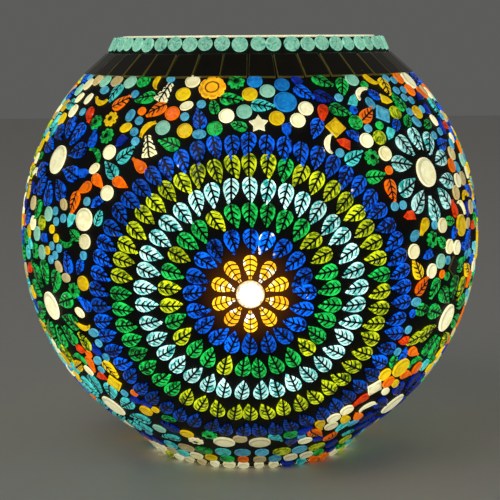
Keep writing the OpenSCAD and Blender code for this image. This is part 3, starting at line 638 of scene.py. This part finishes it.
def loose_chip(shape):
    """The master piece of a loose shape."""
    half_w, half_l, _ = (v * MM for v in SHAPES[shape])
    outlines = {
        "leaf": lambda: leaf_outline(half_w, half_l),
        "sprig": lambda: leaf_outline(half_w, half_l, 0.1, 14, 0.6),
        "drop": lambda: leaf_outline(half_w, half_l, 0.1, 16, 1.3),
        "oval": lambda: round_outline(half_w, 18, half_l / half_w),
        "dot": lambda: round_outline(half_w, 14),
        "shard": lambda: [(-half_w, -half_l), (half_w * 0.9, -half_l * 0.8), (half_w, half_l * 0.1),
                          (half_w * 0.1, half_l), (-half_w * 0.7, half_l * 0.35)],
        "moon": lambda: moon_outline(half_w, half_l),
        "daisy": lambda: petal_wheel_outline(half_w, 8, 0.3),
        "star": lambda: petal_wheel_outline(half_w, 5, 0.42, 2),
        "square": lambda: [(-half_w, -half_l), (half_w, -half_l * 0.94), (half_w * 0.96, half_l), (-half_w, half_l)],
        "fern": lambda: fern_outline(half_w, half_l),
        "rosette": lambda: petal_wheel_outline(half_w, 8, 0.14, 8, 12),
    }
    outline = outlines.get(shape, lambda: round_outline(half_w, 22))()
    veined = 1.0 if shape in ("leaf", "sprig", "fern") else 0.0
    return chip("master_" + shape, outline, veined, eye=0.3 if shape == "daisy" else 0,
                bead=0.52 if shape == "rosette" else 0)


def seat(azimuth, latitude, radius=None, turn=0.0):
    """Frame of a piece on the globe: its Z outwards, its Y towards the mouth, at an azimuth from the front."""
    radius = GLASS_R + PIECE_LIFT if radius is None else radius
    return (Matrix.Translation(CENTRE) @ Matrix.Rotation(math.radians(azimuth), 4, "Z")
            @ Matrix.Rotation(math.radians(90 - latitude), 4, "X") @ Matrix.Translation((0, 0, radius))
            @ Matrix.Rotation(math.radians(turn), 4, "Z"))


def seat_in_ring(azimuth, latitude, turn, arc, twist=0.0, shift=0.0):
    """Frame of a leaf at an arc distance round a centre, with its round end outwards."""
    return (Matrix.Translation(CENTRE) @ Matrix.Rotation(math.radians(azimuth), 4, "Z")
            @ Matrix.Rotation(math.radians(90 - latitude), 4, "X") @ Matrix.Rotation(-math.radians(turn), 4, "Z")
            @ Matrix.Rotation(-(arc + shift) / SEAT_R, 4, "X") @ Matrix.Translation((0, 0, GLASS_R + PIECE_LIFT))
            @ Matrix.Rotation(math.radians(twist), 4, "Z"))


def lay(name, placed, material, stands_for=()):
    """Copies each master to its seat with its own light and shade, joins the copies and dresses the result."""
    copies = []
    for master, matrix, light, shade in placed:
        copy = master.copy()
        copy.data = master.data.copy()
        copy.matrix_world = matrix
        bpy.context.collection.objects.link(copy)
        colours = np.empty(len(copy.data.vertices) * 4, np.float32)
        tint = copy.data.color_attributes["tint"]
        tint.data.foreach_get("color", colours)
        colours[0::4] *= light
        colours[1::4] = shade
        tint.data.foreach_set("color", colours)
        copies.append(copy)
    deselect()
    for copy in copies:
        copy.select_set(True)
    bpy.context.view_layer.objects.active = copies[0]
    if len(copies) > 1:
        bpy.ops.object.join()
    piece = bpy.context.view_layer.objects.active
    bpy.ops.object.transform_apply(location=True, rotation=True, scale=True)
    piece.name = name
    piece.data.name = name
    piece.data.materials.clear()
    piece.data.materials.append(material)
    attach(piece, LAMP)
    if stands_for:
        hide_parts(*stands_for)
    return piece


def discard(*masters):
    """Removes master pieces once they are copied."""
    for master in masters:
        bpy.data.objects.remove(master)


def lathe(name, profile, steps=128):
    """A closed profile of (radius, height) points spun once round Z."""
    deselect()
    bpy.ops.mesh.primitive_circle_add(vertices=len(profile), radius=1, fill_type="NOTHING")
    piece = bpy.context.object
    piece.name = name
    for vertex, (r, z) in zip(piece.data.vertices, profile):
        vertex.co = (r, 0, z)
    bpy.ops.object.mode_set(mode="EDIT")
    bpy.ops.mesh.select_all(action="SELECT")
    bpy.ops.mesh.spin(steps=steps, angle=2 * math.pi, center=(0, 0, 0), axis=(0, 0, 1))
    bpy.ops.mesh.select_all(action="SELECT")
    bpy.ops.mesh.remove_doubles(threshold=1e-6)
    bpy.ops.mesh.normals_make_consistent(inside=False)
    bpy.ops.object.mode_set(mode="OBJECT")
    bpy.ops.object.shade_smooth_by_angle(angle=math.radians(35))
    return piece


def dress(node, material):
    """Gives a CAD node a finish."""
    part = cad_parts[node]
    part.data.materials.clear()
    part.data.materials.append(material)


def globe_profile(grow, top_z, steps=60):
    """The globe's outline grown over the glass: foot, sloping heel, sphere and collar."""
    radius = GLASS_R + grow
    low = math.asin((HEEL_Z - CENTRE.z) / radius)
    high = math.asin((COLLAR_Z - CENTRE.z) / radius)
    arc = [(radius * math.cos(a), CENTRE.z + radius * math.sin(a))
           for a in (low + (high - low) * i / steps for i in range(steps + 1))]
    collar_r = arc[-1][0]
    lean = (collar_r - RIM_R - grow) / (RIM_Z - COLLAR_Z)
    return [(FOOT_R + grow, FOOT_Z)] + arc + [(collar_r - lean * (top_z - COLLAR_Z), top_z)]


# ---------------------------------------------------------------- layout


def direction(azimuth, latitude):
    a, b = np.radians(azimuth), np.radians(latitude)
    return np.stack([np.cos(b) * np.sin(a), -np.cos(b) * np.cos(a), np.sin(b)], -1)


def loose_layout(sizes):
    """Places of the loose pieces: the plan on both halves, filled up with a random mix, then pushed apart until
    neighbours keep their gap and none lies on a pattern. Returns rows of shape, glass, azimuth, latitude."""
    rng = np.random.RandomState(sizes.seed)
    top = math.degrees(math.asin((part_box("band_squares")[0].z - CENTRE.z) / SEAT_R)) + 0.5
    low = math.degrees(math.asin((HEEL_Z - CENTRE.z) / SEAT_R)) + 0.5
    blocks = [(direction(half, MANDALA_CLEAR[0]), MANDALA_CLEAR[1]) for half in (0, 180)]
    blocks += [(direction(f[0] + half, f[1]), FLOWER_CLEAR) for half in (0, 180) for f in FLOWERS]
    blocks.append((direction(180, CABLE_LAT), CABLE_CLEAR))
    kinds, spots, held = [], [], []
    for half in (0, 180):
        for (shape, glass), places in PLAN.items():
            for azimuth, latitude in places:
                kinds.append((shape, glass))
                spots.append(direction(azimuth + half, latitude))
                held.append(0.5)
    # Free area, measured on an even spiral of test points
    count = 6000
    i = np.arange(count)
    tests = direction(np.degrees(i * math.pi * (3 - math.sqrt(5))), np.degrees(np.arcsin(1 - (2 * i + 1) / count)))
    lat = np.degrees(np.arcsin(tests[:, 2]))
    free = (lat < top) & (lat > low)
    for centre, reach in blocks:
        free &= np.arccos(np.clip(tests @ centre, -1, 1)) * SEAT_R > reach
    room = free.mean() * 4 * math.pi * SEAT_R ** 2 * sizes.fill
    used = sum(math.pi * (SHAPES[k[0]][2] * MM + sizes.gap / 2) ** 2 for k in kinds)
    taken = np.array(spots)
    open_spots = tests[free]
    while used < room:
        kind = FILL[rng.randint(len(FILL))]
        tries = open_spots[rng.randint(len(open_spots), size=12)]
        gaps = np.arccos(np.clip(tries @ taken.T, -1, 1)).min(1)
        best = tries[gaps.argmax()]
        kinds.append(kind)
        spots.append(best)
        held.append(1.0)
        taken = np.vstack([taken, best])
        used += math.pi * (SHAPES[kind[0]][2] * MM + sizes.gap / 2) ** 2
    spots = np.array(spots)
    held = np.array(held)[:, None]
    size = np.array([SHAPES[k[0]][2] * MM for k in kinds])
    reach = (size[:, None] + size[None, :] + sizes.gap) / SEAT_R
    np.fill_diagonal(reach, 0)
    for _ in range(220):
        apart = spots[:, None, :] - spots[None, :, :]
        dist = np.linalg.norm(apart, axis=2) + 1e-9
        push = np.maximum(reach - dist, 0) / dist * 0.45
        spots = spots + (apart * push[:, :, None]).sum(1) * held
        for centre, clear in blocks:
            angle = np.arccos(np.clip(spots @ centre, -1, 1))
            need = (clear + size) / SEAT_R - angle
            out = spots - np.outer(spots @ centre, centre)
            out /= np.linalg.norm(out, axis=1)[:, None] + 1e-9
            spots = spots + out * np.maximum(need, 0)[:, None]
        spots /= np.linalg.norm(spots, axis=1)[:, None]
        latitude = np.arcsin(spots[:, 2])
        latitude = np.clip(latitude, np.radians(low) + size / SEAT_R, np.radians(top) - size / SEAT_R)
        azimuth = np.arctan2(spots[:, 0], -spots[:, 1])
        spots = direction(np.degrees(azimuth), np.degrees(latitude))
    apart = np.linalg.norm(spots[:, None, :] - spots[None, :, :], axis=2) + np.eye(len(spots))
    keep = np.ones(len(spots), bool)
    for one in np.argsort(size):
        crowd = (reach[one] - apart[one]) * keep
        if crowd.max() > 1.1 * MM / SEAT_R:
            keep[one] = False
    return [(kinds[j][0], kinds[j][1], math.degrees(azimuth[j]), math.degrees(latitude[j]))
            for j in range(len(kinds)) if keep[j]]


# ---------------------------------------------------------------- operators


class LAMP_OT_globe(bpy.types.Operator):
    """Dress the blown glass and model the grout between the pieces"""

    bl_idname = "lamp.globe"
    bl_label = "Globe and grout"

    def execute(self, context):
        sizes = context.scene.mosaic_sizes
        dress("glass_globe", blown_glass())
        outer = globe_profile(TILE_TOP_R - GLASS_R - sizes.grout_depth, GROUT_TOP_Z)
        inner = globe_profile(0.32 * MM, GROUT_TOP_Z)
        coat = lathe("grout_between_pieces", outer + inner[::-1], 160)
        texture = bpy.data.textures.new("sponge_marks", "CLOUDS")
        texture.noise_scale = 14 * MM
        wave = coat.modifiers.new("sponge", "DISPLACE")
        wave.texture = texture
        wave.strength = 0.3 * MM
        wave.mid_level = 0.6
        bpy.ops.object.modifier_apply(modifier=wave.name)
        deselect()
        bpy.ops.mesh.primitive_cylinder_add(vertices=32, radius=5.2 * MM, depth=30 * MM)
        drill = context.object
        drill.matrix_world = seat(180, CABLE_LAT, SEAT_R)
        cut = coat.modifiers.new("cable_hole", "BOOLEAN")
        cut.object = drill
        cut.solver = "EXACT"
        deselect()
        coat.select_set(True)
        context.view_layer.objects.active = coat
        bpy.ops.object.modifier_apply(modifier=cut.name)
        discard(drill)
        coat.data.materials.clear()
        coat.data.materials.append(grout())
        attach(coat, LAMP)
        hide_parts("grout_coat")
        return {"FINISHED"}


class LAMP_OT_rim(bpy.types.Operator):
    """Lay the mottled discs round the rim"""

    bl_idname = "lamp.rim"
    bl_label = "Rim discs"

    def execute(self, context):
        sizes = context.scene.mosaic_sizes
        rng = np.random.RandomState(sizes.seed + 1)
        low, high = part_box("rim_discs")
        level = (low.z + high.z) / 2 - 0.35 * MM
        radius = high.x - math.sin(RIM_LEAN) * sizes.rim_disc / 2 - (TILE_TOP_R - GLASS_R) * math.cos(RIM_LEAN)
        masters = [chip("master_rim", round_outline(sizes.rim_disc / 2 * (1 + 0.03 * k), 24)) for k in (-1, 0, 1)]
        placed = []
        for i in range(RIM_COUNT):
            matrix = (Matrix.Rotation(2 * math.pi * (i + 0.5 + rng.uniform(-0.08, 0.08)) / RIM_COUNT, 4, "Z")
                      @ Matrix.Translation((0, -radius, level + rng.uniform(-0.35, 0.1) * MM))
                      @ Matrix.Rotation(math.pi / 2 - RIM_LEAN + rng.uniform(-0.04, 0.04), 4, "X"))
            placed.append((masters[i % 3], matrix, rng.uniform(0.85, 1.15), rng.uniform()))
        lay("rim_discs_mottled", placed, mottled_opal_glass(), ["rim_discs"])
        discard(*masters)
        return {"FINISHED"}


class LAMP_OT_band(bpy.types.Operator):
    """Lay the band of smoked mirror squares under the rim"""

    bl_idname = "lamp.band"
    bl_label = "Mirror band"

    def execute(self, context):
        sizes = context.scene.mosaic_sizes
        rng = np.random.RandomState(sizes.seed + 2)
        latitude = math.degrees(math.asin((COLLAR_Z - CENTRE.z) / SEAT_R)) - 8.3 * MM / SEAT_R * 180 / math.pi
        w, t, h = 5.95 * MM, 5.15 * MM, 7.4 * MM
        placed, masters = [], []
        for i in range(BAND_COUNT):
            a, b, c, d = (rng.uniform(-0.35, 0.35) * MM for _ in range(4))
            outline = [(-w + a, -h + b), (w + a, -h + c), (t + d, h + b), (-t + d, h + c)]
            masters.append(chip("master_mirror", outline, 0.0, 0.35 * MM, 0.2 * MM))
            matrix = seat((i + 0.5) * 360 / BAND_COUNT, latitude, turn=rng.uniform(-1.5, 1.5))
            placed.append((masters[-1], matrix, 1, 0.5))
        lay("mirror_band", placed, smoked_mirror(), ["band_squares"])
        discard(*masters)
        return {"FINISHED"}


class LAMP_OT_mandalas(bpy.types.Operator):
    """Lay the front and the back mandala: a medallion and six rings of leaves"""

    bl_idname = "lamp.mandalas"
    bl_label = "Mandalas"

    def execute(self, context):
        sizes = context.scene.mosaic_sizes
        rng = np.random.RandomState(sizes.seed + 3)
        medallion = chip("master_medallion", round_outline(sizes.medallion / 2, 32), 0.0, 0.7 * MM, 0.5 * MM)
        white = medallion_glass()
        materials = {g: stained_glass(g) for g in ("cobalt", "green", "pale_aqua", "lime")}
        materials["amber"] = stained_glass("amber", rib_lines)
        for side, azimuth in (("front", 0), ("back", 180)):
            lay(side + "_medallion_disc", [(medallion, seat(azimuth, MANDALA_LAT), 1, 1)], white,
                [side + "_medallion"])
            for k, (ring, arc, spacing, length, glass) in enumerate(RINGS):
                half_w = sizes.leaf_width / 2 * (0.88 if k == 0 else 1)
                shapes = ((1, 0.45, 1.0), (0.96, 0.2, 0.9), (1.0, -0.4, 1.1)) if k else ((1, 0.0, 1.15),)
                masters = [chip("master_leaf", leaf_outline(half_w * s, length * MM / 2, lean, 20, taper), 1.0)
                           for s, lean, taper in shapes]
                count = math.floor(2 * math.pi * SEAT_R * math.sin(arc * MM / SEAT_R) / (spacing * MM))
                # An outer ring hangs a little low, as a hand-laid one does
                sag = math.degrees(0.0024 * (arc - 11.8) * max(0, arc - 23) * MM / SEAT_R)
                groups = {glass: []}
                for i in range(count):
                    stray = 0.3 if k == 0 else 1.0
                    turn = i * 360 / count
                    matrix = seat_in_ring(azimuth, MANDALA_LAT - sag, turn + rng.uniform(-13, 13) * stray / count,
                                          arc * MM, rng.normal(0, 4.5) * stray,
                                          rng.normal(0, sizes.looseness) * stray)
                    leaf = masters[rng.randint(len(masters))]
                    light = rng.uniform(0.8, 1.2)
                    shade = rng.uniform(0.3, 0.8)
                    this = glass
                    if glass == "green" and rng.uniform() < 0.28:
                        this = "lime"
                    if glass == "lime" and rng.uniform() < (0.8 if 225 < turn < 300 else 0.08):
                        this = "green"
                    if glass == "cobalt" and rng.uniform() < 0.3:
                        light *= 0.6
                    if ring == "cobalt_ring_outer" and abs(turn - 180) < 55:
                        light *= 0.45
                    if ring == "cobalt_ring_inner" and i == 1:
                        light = 1.7
                    groups.setdefault(this, []).append((leaf, matrix, light, shade))
                for this, placed in groups.items():
                    name = side + "_" + ring + ("" if this == glass else "_" + this) + "_glass"
                    lay(name, placed, materials[this], [side + "_" + ring] if this == glass else ())
                discard(*masters)
        discard(medallion)
        return {"FINISHED"}


class LAMP_OT_flowers(bpy.types.Operator):
    """Lay the flowers: cream discs with ten petals each"""

    bl_idname = "lamp.flowers"
    bl_label = "Flowers"

    def execute(self, context):
        sizes = context.scene.mosaic_sizes
        rng = np.random.RandomState(sizes.seed + 4)
        disc = chip("master_flower_disc", round_outline(6.9 * MM, 28), 0.0, 0.7 * MM, 0.6 * MM)
        petals = [chip("master_petal", leaf_outline(3.8 * MM, 6.0 * MM, lean), 1.0) for lean in (0.1, 0.3)]
        discs, groups = [], {}
        for half in (0, 180):
            for azimuth, latitude, glass in FLOWERS:
                discs.append((disc, seat(azimuth + half, latitude), rng.uniform(0.9, 1.05), 0.8))
                for i in range(PETALS):
                    turn = (i + rng.uniform(-0.08, 0.08)) * 360 / PETALS
                    matrix = seat_in_ring(azimuth + half, latitude, turn, PETAL_ARC,
                                          rng.normal(0, 6), rng.normal(0, sizes.looseness))
                    this = glass
                    if glass == "green_mix":
                        this = "lime" if i % 3 == 1 else "green"
                    groups.setdefault((glass, this), []).append(
                        (petals[i % 2], matrix, rng.uniform(0.75, 1.1), rng.uniform(0.2, 0.8)))
        lay("flower_centres_cream", discs, stained_glass("cream"), ["flower_discs"])
        nodes = {"cobalt": "cobalt_flower_petals", "green": "green_flower_petals",
                 "pale_aqua": "aqua_flower_petals", "navy": "navy_flower_petals", "green_mix": "lime_flower_petals"}
        for (flower, this), placed in groups.items():
            stands_for = [nodes[flower]] if flower in nodes and this in (flower, "lime") else ()
            lay("flower_" + flower + "_" + this, placed, stained_glass(this), stands_for)
        discard(disc, *petals)
        return {"FINISHED"}


class LAMP_OT_loose_pieces(bpy.types.Operator):
    """Lay the loose pieces between the patterns"""

    bl_idname = "lamp.loose_pieces"
    bl_label = "Loose pieces"

    def execute(self, context):
        sizes = context.scene.mosaic_sizes
        rng = np.random.RandomState(sizes.seed + 5)
        masters = {shape: loose_chip(shape) for shape in SHAPES}
        groups = {}
        for shape, glass, azimuth, latitude in loose_layout(sizes):
            upright = shape in ("disc", "big", "dot", "fern", "star")
            turn = rng.uniform(-20, 20) if upright else rng.uniform(0, 360)
            groups.setdefault(glass, []).append(
                (masters[shape], seat(azimuth, latitude, turn=turn), rng.uniform(0.75, 1.1), rng.uniform(0.2, 0.9)))
        nodes = {"cream": "cream_discs", "tan": "tan_discs", "aqua": "aqua_discs", "sky": "sky_dots",
                 "yellow": "yellow_discs", "orange": "orange_discs", "green": "green_leaves",
                 "cobalt": "cobalt_leaves"}
        for glass, placed in groups.items():
            material = smoked_mirror() if glass == "smoked" else stained_glass(glass)
            lay("loose_" + glass, placed, material, [nodes[glass]] if glass in nodes else ())
        discard(*masters.values())
        return {"FINISHED"}


class LAMP_OT_heel_rows(bpy.types.Operator):
    """Lay the rows of small pieces on the heel, down to the foot"""

    bl_idname = "lamp.heel_rows"
    bl_label = "Heel rows"

    def execute(self, context):
        sizes = context.scene.mosaic_sizes
        rng = np.random.RandomState(sizes.seed + 6)
        edge_r, foot_r = globe_profile(PIECE_LIFT, GROUT_TOP_Z)[1][0], FOOT_R
        slope = math.hypot(edge_r - foot_r, HEEL_Z - FOOT_Z)
        lean = math.atan((edge_r - foot_r) / (HEEL_Z - FOOT_Z))
        mix = ["cream", "tan", "cream", "lime", "turquoise", "orange", "green", "cream", "navy", "yellow", "sky"]
        groups = {}
        masters = []
        for node, radius, down in (("heel_discs", 3.7, 4.3), ("base_discs", 2.9, 11.6), ("base_discs", 2.6, 17.7)):
            row = [chip("master_" + node, round_outline(radius * MM * w, 18, 0.96 / w)) for w in (0.9, 1.05, 1.2)]
            masters += row
            share = down * MM / slope
            r = edge_r - share * (edge_r - foot_r)
            z = HEEL_Z - share * (HEEL_Z - FOOT_Z)
            count = math.floor(2 * math.pi * r / (2 * radius * MM + 1.6 * MM))
            for i in range(count):
                turn = (i + 0.5 + rng.uniform(-0.06, 0.06)) * 360 / count
                if node == "heel_discs" and abs(turn - 180) < 9:
                    continue
                matrix = (Matrix.Rotation(math.radians(turn), 4, "Z") @ Matrix.Translation((0, -r, z))
                          @ Matrix.Rotation(math.pi / 2 + lean, 4, "X"))
                glass = "cream" if down > 15 and rng.uniform() < 0.5 else mix[rng.randint(len(mix))]
                groups.setdefault((node, glass), []).append(
                    (row[rng.randint(3)], matrix, rng.uniform(0.8, 1.2), rng.uniform(0.3, 0.9)))
        for (node, glass), placed in groups.items():
            lay(node + "_" + glass, placed, stained_glass(glass), [node] if glass == "cream" else ())
        discard(*masters)
        return {"FINISHED"}


class LAMP_OT_bulb(bpy.types.Operator):
    """Model the frosted bulb with its screw cap"""

    bl_idname = "lamp.bulb"
    bl_label = "Bulb"

    def execute(self, context):
        low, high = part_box("bulb_envelope")
        cap_low, cap_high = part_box("bulb_cap")
        radius = high.x
        middle = high.z - radius
        neck_r = cap_high.x
        curve = [(radius * math.sin(a), middle + radius * math.cos(a))
                 for a in (math.radians(2 + 138 * i / 28) for i in range(29))]
        neck = [(neck_r + (curve[-1][0] - neck_r) * (1 - t) ** 1.7, curve[-1][1] + (low.z - curve[-1][1]) * t)
                for t in (i / 8 for i in range(1, 9))]
        outer = curve + neck
        wall = 0.8 * MM
        inner = [(max(r - wall * 0.9, 0.0003), z - (wall if z > middle else 0)) for r, z in outer]
        envelope = lathe("bulb_envelope_frosted", outer + inner[::-1], 64)
        envelope.data.materials.append(frosted_bulb())
        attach(envelope, "bulb")
        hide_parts("bulb_envelope")
        # Rolled thread: 2.8 mm pitch, drawn as level rings
        turns = 6
        steps = turns * 8
        top = cap_high.z
        span = cap_high.z - cap_low.z
        depth = 0.35 * MM
        outside = [(cap_high.x - depth + depth * math.cos(2 * math.pi * turns * i / steps), top - span * i / steps)
                   for i in range(steps + 1)]
        inside = [(r - 0.5 * MM, z) for r, z in outside]
        cap = lathe("bulb_cap_threaded", outside + inside[::-1], 64)
        cap.data.materials.append(plain_finish("rolled_aluminium", "#9EA0A2", "#C9CBCC", 3.0, 0.28, 1.0, 0.02))
        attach(cap, "bulb")
        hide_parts("bulb_cap")
        dress("bulb_cap_insulator", plain_finish("black_vitrite_glass", "#050505", "#131312", 2.0, 0.1))
        dress("bulb_cap_contact", plain_finish("soft_solder", "#8E8E8A", "#B9B9B4", 1.0, 0.35, 1.0, 0.1))
        dress("bulb_stem", plain_finish("drawn_stem_glass", "#D8E2E0", "#F1F7F5", 4.0, 0.05))
        dress("bulb_filaments", plain_finish("phosphor_coating", "#F0C050", "#FFDC80", 0.6, 0.6, 0.0, 0.1))
        dress("bulb_wires", plain_finish("drawn_nickel_wire", "#A0A0A0", "#C8C8C8", 1.0, 0.25, 1.0, 0.02))
        return {"FINISHED"}


class LAMP_OT_fittings(bpy.types.Operator):
    """Dress the lampholder, the clamp and the rubber fittings"""

    bl_idname = "lamp.fittings"
    bl_label = "Holder and fittings"

    def execute(self, context):
        bakelite = plain_finish("moulded_bakelite", "#120B07", "#24160E", 1.5, 0.2, 0.0, 0.02)
        brass = plain_finish("turned_brass", "#A87E34", "#D2AE62", 0.8, 0.22, 1.0, 0.02)
        rubber = plain_finish("moulded_rubber", "#0C0C0C", "#1E1E1D", 0.8, 0.6, 0.0, 0.08)
        porcelain = plain_finish("unglazed_porcelain", "#D8D2C4", "#ECE7DB", 1.2, 0.4, 0.0, 0.05)
        steel = plain_finish("zinc_plated_steel", "#96999C", "#B8BCC0", 2.0, 0.3, 1.0, 0.02)
        for node in ("holder_base", "holder_skirt", "holder_shade_ring"):
            dress(node, bakelite)
        for node in ("clamp_nut", "threaded_tube", "screw_shell", "centre_tongue", "terminal_screws"):
            dress(node, brass)
        for node in ("foot_pads", "cable_grommet", "cushion_washer"):
            dress(node, rubber)
        dress("contact_block", porcelain)
        dress("clamp_washer", steel)
        return {"FINISHED"}


class LAMP_OT_stage(bpy.types.Operator):
    """Set up the floor, the soft lights and the camera"""

    bl_idname = "lamp.stage"
    bl_label = "Floor, lights and camera"

    def execute(self, context):
        studio = context.scene.studio_settings
        deselect()
        bpy.ops.mesh.primitive_plane_add(size=6, location=(0, 0, 0))
        floor = context.object
        floor.name = "studio_floor"
        floor.data.materials.append(plain_finish("painted_board", studio.floor, studio.floor, 8.0, 0.45, 0.0, 0.01))
        world = bpy.data.worlds.new("studio")
        world.use_nodes = True
        world.node_tree.nodes["Background"].inputs[0].default_value = linear("#D6D6D4")
        world.node_tree.nodes["Background"].inputs[1].default_value = 0.16
        context.scene.world = world
        for name, size, power, place in (("key", 1.2, studio.key, (-0.9, -1.0, 1.5)),
                                         ("fill", 1.6, studio.key * 0.35, (1.3, -0.8, 0.9))):
            bpy.ops.object.light_add(type="AREA", location=place)
            lamp = context.object
            lamp.name = name + "_light"
            lamp.data.size = size
            lamp.data.energy = power
            lamp.rotation_euler = (CENTRE - Vector(place)).to_track_quat("-Z", "Y").to_euler()
        bpy.ops.object.camera_add()
        camera = context.object
        camera.data.lens = studio.lens
        camera.data.sensor_width = 36
        place = CENTRE + studio.distance * Vector((0, -math.cos(studio.elevation), math.sin(studio.elevation)))
        pitch = math.pi / 2 - studio.elevation - studio.lift
        camera.matrix_world = (Matrix.Translation(place) @ Matrix.Rotation(pitch, 4, "X")
                               @ Matrix.Rotation(studio.roll, 4, "Z"))
        context.scene.camera = camera
        context.scene.view_settings.view_transform = "Standard"
        return {"FINISHED"}


OPERATORS = [LAMP_OT_globe, LAMP_OT_rim, LAMP_OT_band, LAMP_OT_mandalas, LAMP_OT_flowers, LAMP_OT_loose_pieces,
             LAMP_OT_heel_rows, LAMP_OT_bulb, LAMP_OT_fittings, LAMP_OT_stage]


class LAMP_PT_mosaic(bpy.types.Panel):
    """Lists the steps and the sizes"""

    bl_idname = "LAMP_PT_mosaic"
    bl_label = "Mosaic globe lamp"
    bl_space_type = "VIEW_3D"
    bl_region_type = "UI"
    bl_category = "Lamp"

    def draw(self, context):
        for group in (context.scene.mosaic_sizes, context.scene.lamp_light, context.scene.glass_colours,
                      context.scene.studio_settings):
            box = self.layout.box()
            for key in group.__annotations__:
                box.prop(group, key)
        for operator in OPERATORS:
            self.layout.operator(operator.bl_idname)


GROUPS = {"mosaic_sizes": MosaicSizes, "lamp_light": LampLight, "glass_colours": GlassColours,
          "studio_settings": StudioSettings}


def register():
    for name, group in GROUPS.items():
        bpy.utils.register_class(group)
        setattr(bpy.types.Scene, name, PointerProperty(type=group))
    for operator in OPERATORS:
        bpy.utils.register_class(operator)
    bpy.utils.register_class(LAMP_PT_mosaic)


def unregister():
    bpy.utils.unregister_class(LAMP_PT_mosaic)
    for operator in reversed(OPERATORS):
        bpy.utils.unregister_class(operator)
    for name, group in GROUPS.items():
        delattr(bpy.types.Scene, name)
        bpy.utils.unregister_class(group)


def main():
    register()
    for operator in OPERATORS:
        family, name = operator.bl_idname.split(".")
        getattr(getattr(bpy.ops, family), name)()
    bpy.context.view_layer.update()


if __name__ == "__main__":
    main()
